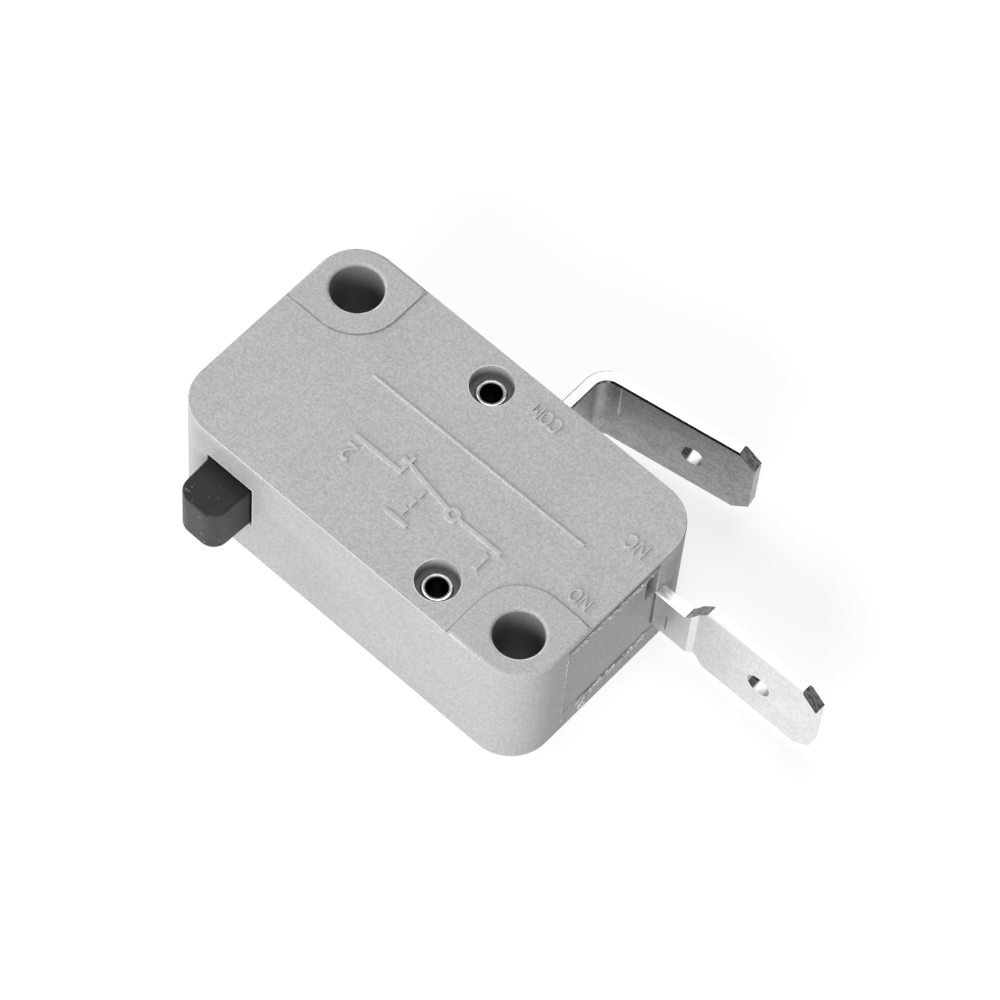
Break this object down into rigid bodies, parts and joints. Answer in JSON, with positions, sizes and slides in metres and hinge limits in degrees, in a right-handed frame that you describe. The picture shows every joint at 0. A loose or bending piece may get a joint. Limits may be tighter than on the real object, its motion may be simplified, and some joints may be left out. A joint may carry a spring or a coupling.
{
  "type": "snap-action micro switch",
  "caption": "Miniature snap-action micro switch with a plunger, two fixing holes and blade terminals, normally closed.",
  "frame": {"origin": "midway between the two fixing holes, on the back face of the case", "axes": "+X along the case towards the end terminal, +Y towards the common terminal and away from the plunger, +Z out of the marked face"},
  "size_m": [0.0398, 0.0252, 0.0103],
  "materials": {
    "case_plastic": "matt moulded light grey",
    "plunger_plastic": "satin moulded dark grey",
    "inner_plastic": "matt moulded natural",
    "plated_strip": "nickel-plated, rolled",
    "plated_rivet": "nickel-plated, drawn",
    "contact_silver": "silver alloy, polished",
    "spring_steel": "drawn spring steel"
  },
  "bodies": {
    "case": {"housing": "case_plastic", "back_cover": "case_plastic", "eyelet_upper": "plated_rivet", "eyelet_lower": "plated_rivet", "common_terminal": "plated_strip", "nc_terminal": "plated_strip", "nc_fixed_contact": "contact_silver", "no_blank_stop": "inner_plastic", "rocker_pin": "spring_steel"},
    "button": {"plunger": "plunger_plastic"},
    "rocker": {"actuating_rocker": "inner_plastic", "hook_pin": "spring_steel"},
    "contact_arm": {"contact_lever": "plated_strip", "moving_contact": "contact_silver"},
    "spring": {"snap_spring": "spring_steel"}
  },
  "joints": [
    {"name": "plunger_slide", "type": "slide", "parent": "case", "child": "button", "axis": [0, 1, 0], "range_m": [0, 0.002], "stiffness_N_per_m": 300, "springref_m": -0.004},
    {"name": "rocker_pivot", "type": "hinge", "parent": "case", "child": "rocker", "pos_m": [-0.0042, -0.0014, 0.00513], "axis": [0, 0, 1], "range_deg": [-23.5, 0]},
    {"name": "contact_pivot", "type": "hinge", "parent": "case", "child": "contact_arm", "pos_m": [0.00262, 0, 0.00513], "axis": [0, 0, 1], "range_deg": [-8.1, 0]},
    {"name": "spring_hook", "type": "hinge", "parent": "contact_arm", "child": "spring", "pos_m": [0.00718, 0.00184, 0.00513], "axis": [0, 0, 1], "range_deg": [0, 11.4], "deforming": ["snap_spring"]}
  ],
  "couplings": [
    {"joint": "rocker_pivot", "follows": "plunger_slide", "rad_per_m": -204.2},
    {"joint": "contact_pivot", "follows": "plunger_slide", "rad_per_m": -70.249},
    {"joint": "spring_hook", "follows": "plunger_slide", "rad_per_m": 98.611}
  ]
}
